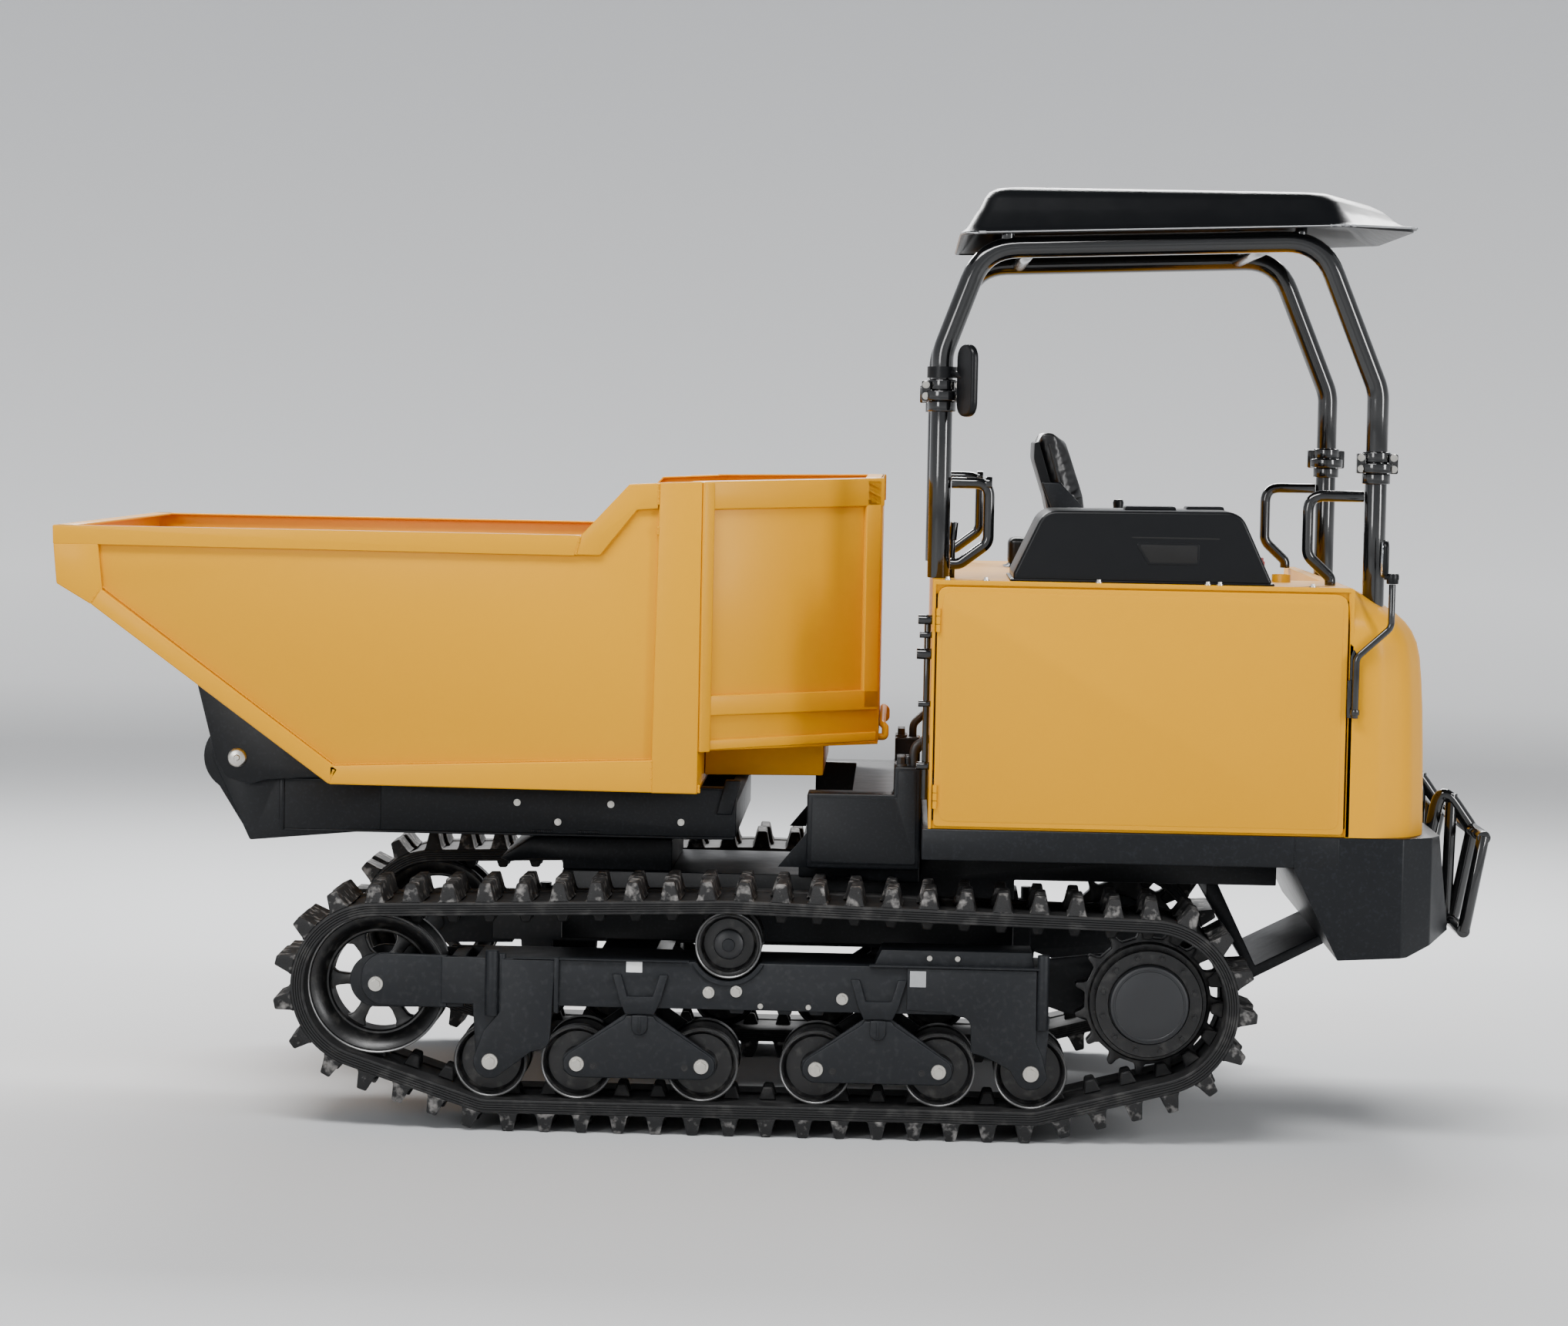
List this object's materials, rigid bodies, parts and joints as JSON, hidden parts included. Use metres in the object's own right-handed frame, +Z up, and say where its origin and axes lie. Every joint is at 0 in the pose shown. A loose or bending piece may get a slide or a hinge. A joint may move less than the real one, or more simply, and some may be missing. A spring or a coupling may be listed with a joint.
{
  "type": "crawler carrier",
  "caption": "Rubber-tracked crawler carrier with a swivelling, tipping open skip, engine body, canopy operator station and working undercarriage.",
  "frame": {"origin": "on the ground under the middle of the overall box", "axes": "+X forward, the way the operator faces; +Z up; the machine's right-hand side is -Y"},
  "size_m": [3.6361, 1.65, 2.39],
  "materials": {
    "yellow_paint": "satin powder coat, fine orange peel",
    "black_paint": "satin, lightly textured",
    "black_plastic": "moulded, fine grain",
    "rubber": "dusty moulded rubber",
    "wheel_steel": "black paint over castings",
    "bright_steel": "plated",
    "engine_grey": "painted castings",
    "seat_vinyl": "grained vinyl over foam",
    "red_plastic": "gloss"
  },
  "bodies": {
    "chassis": {"chassis_frame": "black_paint", "belly_guard": "black_paint", "slew_pedestal": "black_paint", "valve_box": "black_paint", "body_shell": "yellow_paint", "engine": "engine_grey", "radiator": "engine_grey", "console_right": "black_plastic", "console_left": "black_plastic", "lower_posts": "black_paint", "upper_frame": "black_paint", "post_clamps": "black_paint", "canopy_roof": "black_plastic", "grab_handles": "black_paint", "front_guard": "black_paint", "track_frame_right": "black_paint", "track_frame_left": "black_paint", "track_belt_right": "rubber", "track_belt_left": "rubber"},
    "sprocket_right": {"sprocket_right": "wheel_steel"},
    "idler_fork_right": {"idler_fork_right": "black_paint"},
    "idler_right": {"idler_right": "wheel_steel"},
    "carrier_roller_right": {"carrier_roller_right": "wheel_steel"},
    "bogie_a_right": {"bogie_a_right": "black_paint"},
    "roller_2_right": {"roller_2_right": "wheel_steel"},
    "roller_3_right": {"roller_3_right": "wheel_steel"},
    "bogie_b_right": {"bogie_b_right": "black_paint"},
    "roller_4_right": {"roller_4_right": "wheel_steel"},
    "roller_5_right": {"roller_5_right": "wheel_steel"},
    "roller_1_right": {"roller_1_right": "wheel_steel"},
    "roller_6_right": {"roller_6_right": "wheel_steel"},
    "sprocket_left": {"sprocket_left": "wheel_steel"},
    "idler_fork_left": {"idler_fork_left": "black_paint"},
    "idler_left": {"idler_left": "wheel_steel"},
    "carrier_roller_left": {"carrier_roller_left": "wheel_steel"},
    "bogie_a_left": {"bogie_a_left": "black_paint"},
    "roller_2_left": {"roller_2_left": "wheel_steel"},
    "roller_3_left": {"roller_3_left": "wheel_steel"},
    "bogie_b_left": {"bogie_b_left": "black_paint"},
    "roller_4_left": {"roller_4_left": "wheel_steel"},
    "roller_5_left": {"roller_5_left": "wheel_steel"},
    "roller_1_left": {"roller_1_left": "wheel_steel"},
    "roller_6_left": {"roller_6_left": "wheel_steel"},
    "skip_frame": {"skip_frame": "black_paint", "tip_pins": "bright_steel"},
    "skip": {"skip": "yellow_paint"},
    "cylinder_barrel": {"cylinder_barrel": "black_paint"},
    "cylinder_rod": {"cylinder_rod": "bright_steel"},
    "side_door_right": {"side_door_right": "yellow_paint"},
    "side_door_left": {"side_door_left": "yellow_paint"},
    "front_hood": {"front_hood": "yellow_paint"},
    "seat": {"seat_base": "black_paint", "seat_cushion": "seat_vinyl"},
    "seat_back": {"seat_back": "seat_vinyl"},
    "joystick_right": {"joystick_right": "black_plastic"},
    "joystick_left": {"joystick_left": "black_plastic"},
    "fuel_cap": {"fuel_cap": "red_plastic"},
    "mirror_rear": {"mirror_rear": "black_plastic"},
    "mirror_arm": {"mirror_arm": "black_paint"},
    "mirror_front": {"mirror_front": "black_plastic"}
  },
  "joints": [
    {"name": "sprocket_right_spin", "type": "hinge", "parent": "chassis", "child": "sprocket_right", "pos_m": [0.95, -0.665, 0.348], "axis": [0, 1, 0], "continuous": true},
    {"name": "idler_fork_right_slide", "type": "slide", "parent": "chassis", "child": "idler_fork_right", "axis": [-1, 0, 0], "range_m": [0, 0.025], "deforming": ["track_belt_right"]},
    {"name": "idler_right_spin", "type": "hinge", "parent": "idler_fork_right", "child": "idler_right", "pos_m": [-0.985, -0.665, 0.357], "axis": [0, 1, 0], "continuous": true},
    {"name": "carrier_roller_right_spin", "type": "hinge", "parent": "chassis", "child": "carrier_roller_right", "pos_m": [-0.103, -0.665, 0.476], "axis": [0, 1, 0], "continuous": true},
    {"name": "bogie_a_right_rock", "type": "hinge", "parent": "chassis", "child": "bogie_a_right", "pos_m": [-0.321, -0.665, 0.288], "axis": [0, 1, 0], "range_deg": [-4, 4], "deforming": ["track_belt_right"]},
    {"name": "roller_2_right_spin", "type": "hinge", "parent": "bogie_a_right", "child": "roller_2_right", "pos_m": [-0.477, -0.665, 0.172], "axis": [0, 1, 0], "continuous": true},
    {"name": "roller_3_right_spin", "type": "hinge", "parent": "bogie_a_right", "child": "roller_3_right", "pos_m": [-0.165, -0.665, 0.172], "axis": [0, 1, 0], "continuous": true},
    {"name": "bogie_b_right_rock", "type": "hinge", "parent": "chassis", "child": "bogie_b_right", "pos_m": [0.2745, -0.665, 0.288], "axis": [0, 1, 0], "range_deg": [-4, 4], "deforming": ["track_belt_right"]},
    {"name": "roller_4_right_spin", "type": "hinge", "parent": "bogie_b_right", "child": "roller_4_right", "pos_m": [0.121, -0.665, 0.172], "axis": [0, 1, 0], "continuous": true},
    {"name": "roller_5_right_spin", "type": "hinge", "parent": "bogie_b_right", "child": "roller_5_right", "pos_m": [0.428, -0.665, 0.172], "axis": [0, 1, 0], "continuous": true},
    {"name": "roller_1_right_spin", "type": "hinge", "parent": "chassis", "child": "roller_1_right", "pos_m": [-0.695, -0.665, 0.172], "axis": [0, 1, 0], "continuous": true},
    {"name": "roller_6_right_spin", "type": "hinge", "parent": "chassis", "child": "roller_6_right", "pos_m": [0.658, -0.665, 0.172], "axis": [0, 1, 0], "continuous": true},
    {"name": "sprocket_left_spin", "type": "hinge", "parent": "chassis", "child": "sprocket_left", "pos_m": [0.95, 0.665, 0.348], "axis": [0, 1, 0], "continuous": true},
    {"name": "idler_fork_left_slide", "type": "slide", "parent": "chassis", "child": "idler_fork_left", "axis": [-1, 0, 0], "range_m": [0, 0.025], "deforming": ["track_belt_left"]},
    {"name": "idler_left_spin", "type": "hinge", "parent": "idler_fork_left", "child": "idler_left", "pos_m": [-0.985, 0.665, 0.357], "axis": [0, 1, 0], "continuous": true},
    {"name": "carrier_roller_left_spin", "type": "hinge", "parent": "chassis", "child": "carrier_roller_left", "pos_m": [-0.103, 0.665, 0.476], "axis": [0, 1, 0], "continuous": true},
    {"name": "bogie_a_left_rock", "type": "hinge", "parent": "chassis", "child": "bogie_a_left", "pos_m": [-0.321, 0.665, 0.288], "axis": [0, 1, 0], "range_deg": [-4, 4], "deforming": ["track_belt_left"]},
    {"name": "roller_2_left_spin", "type": "hinge", "parent": "bogie_a_left", "child": "roller_2_left", "pos_m": [-0.477, 0.665, 0.172], "axis": [0, 1, 0], "continuous": true},
    {"name": "roller_3_left_spin", "type": "hinge", "parent": "bogie_a_left", "child": "roller_3_left", "pos_m": [-0.165, 0.665, 0.172], "axis": [0, 1, 0], "continuous": true},
    {"name": "bogie_b_left_rock", "type": "hinge", "parent": "chassis", "child": "bogie_b_left", "pos_m": [0.2745, 0.665, 0.288], "axis": [0, 1, 0], "range_deg": [-4, 4], "deforming": ["track_belt_left"]},
    {"name": "roller_4_left_spin", "type": "hinge", "parent": "bogie_b_left", "child": "roller_4_left", "pos_m": [0.121, 0.665, 0.172], "axis": [0, 1, 0], "continuous": true},
    {"name": "roller_5_left_spin", "type": "hinge", "parent": "bogie_b_left", "child": "roller_5_left", "pos_m": [0.428, 0.665, 0.172], "axis": [0, 1, 0], "continuous": true},
    {"name": "roller_1_left_spin", "type": "hinge", "parent": "chassis", "child": "roller_1_left", "pos_m": [-0.695, 0.665, 0.172], "axis": [0, 1, 0], "continuous": true},
    {"name": "roller_6_left_spin", "type": "hinge", "parent": "chassis", "child": "roller_6_left", "pos_m": [0.658, 0.665, 0.172], "axis": [0, 1, 0], "continuous": true},
    {"name": "skip_slew", "type": "hinge", "parent": "chassis", "child": "skip_frame", "pos_m": [-0.457, 0, 0.72], "axis": [0, 0, 1], "range_deg": [-90, 90]},
    {"name": "skip_tip", "type": "hinge", "parent": "skip_frame", "child": "skip", "pos_m": [-1.374, 0, 0.903], "axis": [0, -1, 0], "range_deg": [0, 60]},
    {"name": "cylinder_swing", "type": "hinge", "parent": "skip_frame", "child": "cylinder_barrel", "pos_m": [-1.234, 0, 0.753], "axis": [0, -1, 0], "range_deg": [0, 62.5]},
    {"name": "cylinder_stroke", "type": "slide", "parent": "cylinder_barrel", "child": "cylinder_rod", "axis": [0.9969, 0, 0.0787], "range_m": [0, 0.205]},
    {"name": "door_right_open", "type": "hinge", "parent": "chassis", "child": "side_door_right", "pos_m": [0.404, -0.783, 1.08], "axis": [0, 0, -1], "range_deg": [0, 90]},
    {"name": "door_left_open", "type": "hinge", "parent": "chassis", "child": "side_door_left", "pos_m": [0.404, 0.783, 1.08], "axis": [0, 0, 1], "range_deg": [0, 90]},
    {"name": "hood_open", "type": "hinge", "parent": "chassis", "child": "front_hood", "pos_m": [1.427, 0, 1.402], "axis": [0, -1, 0], "range_deg": [0, 60]},
    {"name": "seat_slide", "type": "slide", "parent": "chassis", "child": "seat", "axis": [1, 0, 0], "range_m": [-0.06, 0.08]},
    {"name": "seat_recline", "type": "hinge", "parent": "seat", "child": "seat_back", "pos_m": [0.748, 0, 1.5], "axis": [0, -1, 0], "range_deg": [0, 20]},
    {"name": "joystick_right_tilt", "type": "hinge", "parent": "chassis", "child": "joystick_right", "pos_m": [1.03, -0.316, 1.48], "axis": [0, 1, 0], "range_deg": [-15, 15], "stiffness_Nm_per_rad": 2},
    {"name": "joystick_left_tilt", "type": "hinge", "parent": "chassis", "child": "joystick_left", "pos_m": [0.9, 0.36, 1.49], "axis": [0, 1, 0], "range_deg": [-15, 15], "stiffness_Nm_per_rad": 2},
    {"name": "fuel_cap_turn", "type": "hinge", "parent": "chassis", "child": "fuel_cap", "pos_m": [1.279, -0.45, 1.41], "axis": [0, 0, 1], "range_deg": [0, 90]},
    {"name": "mirror_rear_swing", "type": "hinge", "parent": "chassis", "child": "mirror_rear", "pos_m": [0.402, -0.64, 1.916], "axis": [0, 0, 1], "range_deg": [-60, 20]},
    {"name": "mirror_arm_swing", "type": "hinge", "parent": "chassis", "child": "mirror_arm", "pos_m": [1.44, -0.797, 1.15], "axis": [0, 0, -1], "range_deg": [0, 90]},
    {"name": "mirror_front_turn", "type": "hinge", "parent": "mirror_arm", "child": "mirror_front", "pos_m": [1.523, -0.797, 1.43], "axis": [0, 0, 1], "range_deg": [-45, 45]}
  ],
  "couplings": [
    {"joint": "idler_right_spin", "follows": "sprocket_right_spin", "ratio": 1.0621},
    {"joint": "carrier_roller_right_spin", "follows": "sprocket_right_spin", "ratio": 2.2381},
    {"joint": "roller_2_right_spin", "follows": "sprocket_right_spin", "ratio": 2.0435},
    {"joint": "roller_3_right_spin", "follows": "sprocket_right_spin", "ratio": 2.0435},
    {"joint": "roller_4_right_spin", "follows": "sprocket_right_spin", "ratio": 2.0435},
    {"joint": "roller_5_right_spin", "follows": "sprocket_right_spin", "ratio": 2.0435},
    {"joint": "roller_1_right_spin", "follows": "sprocket_right_spin", "ratio": 2.0435},
    {"joint": "roller_6_right_spin", "follows": "sprocket_right_spin", "ratio": 2.0435},
    {"joint": "idler_left_spin", "follows": "sprocket_left_spin", "ratio": 1.0621},
    {"joint": "carrier_roller_left_spin", "follows": "sprocket_left_spin", "ratio": 2.2381},
    {"joint": "roller_2_left_spin", "follows": "sprocket_left_spin", "ratio": 2.0435},
    {"joint": "roller_3_left_spin", "follows": "sprocket_left_spin", "ratio": 2.0435},
    {"joint": "roller_4_left_spin", "follows": "sprocket_left_spin", "ratio": 2.0435},
    {"joint": "roller_5_left_spin", "follows": "sprocket_left_spin", "ratio": 2.0435},
    {"joint": "roller_1_left_spin", "follows": "sprocket_left_spin", "ratio": 2.0435},
    {"joint": "roller_6_left_spin", "follows": "sprocket_left_spin", "ratio": 2.0435},
    {"joint": "cylinder_swing", "follows": "skip_tip", "ratio": 1.03},
    {"joint": "cylinder_stroke", "follows": "skip_tip", "m_per_rad": 0.19423}
  ]
}
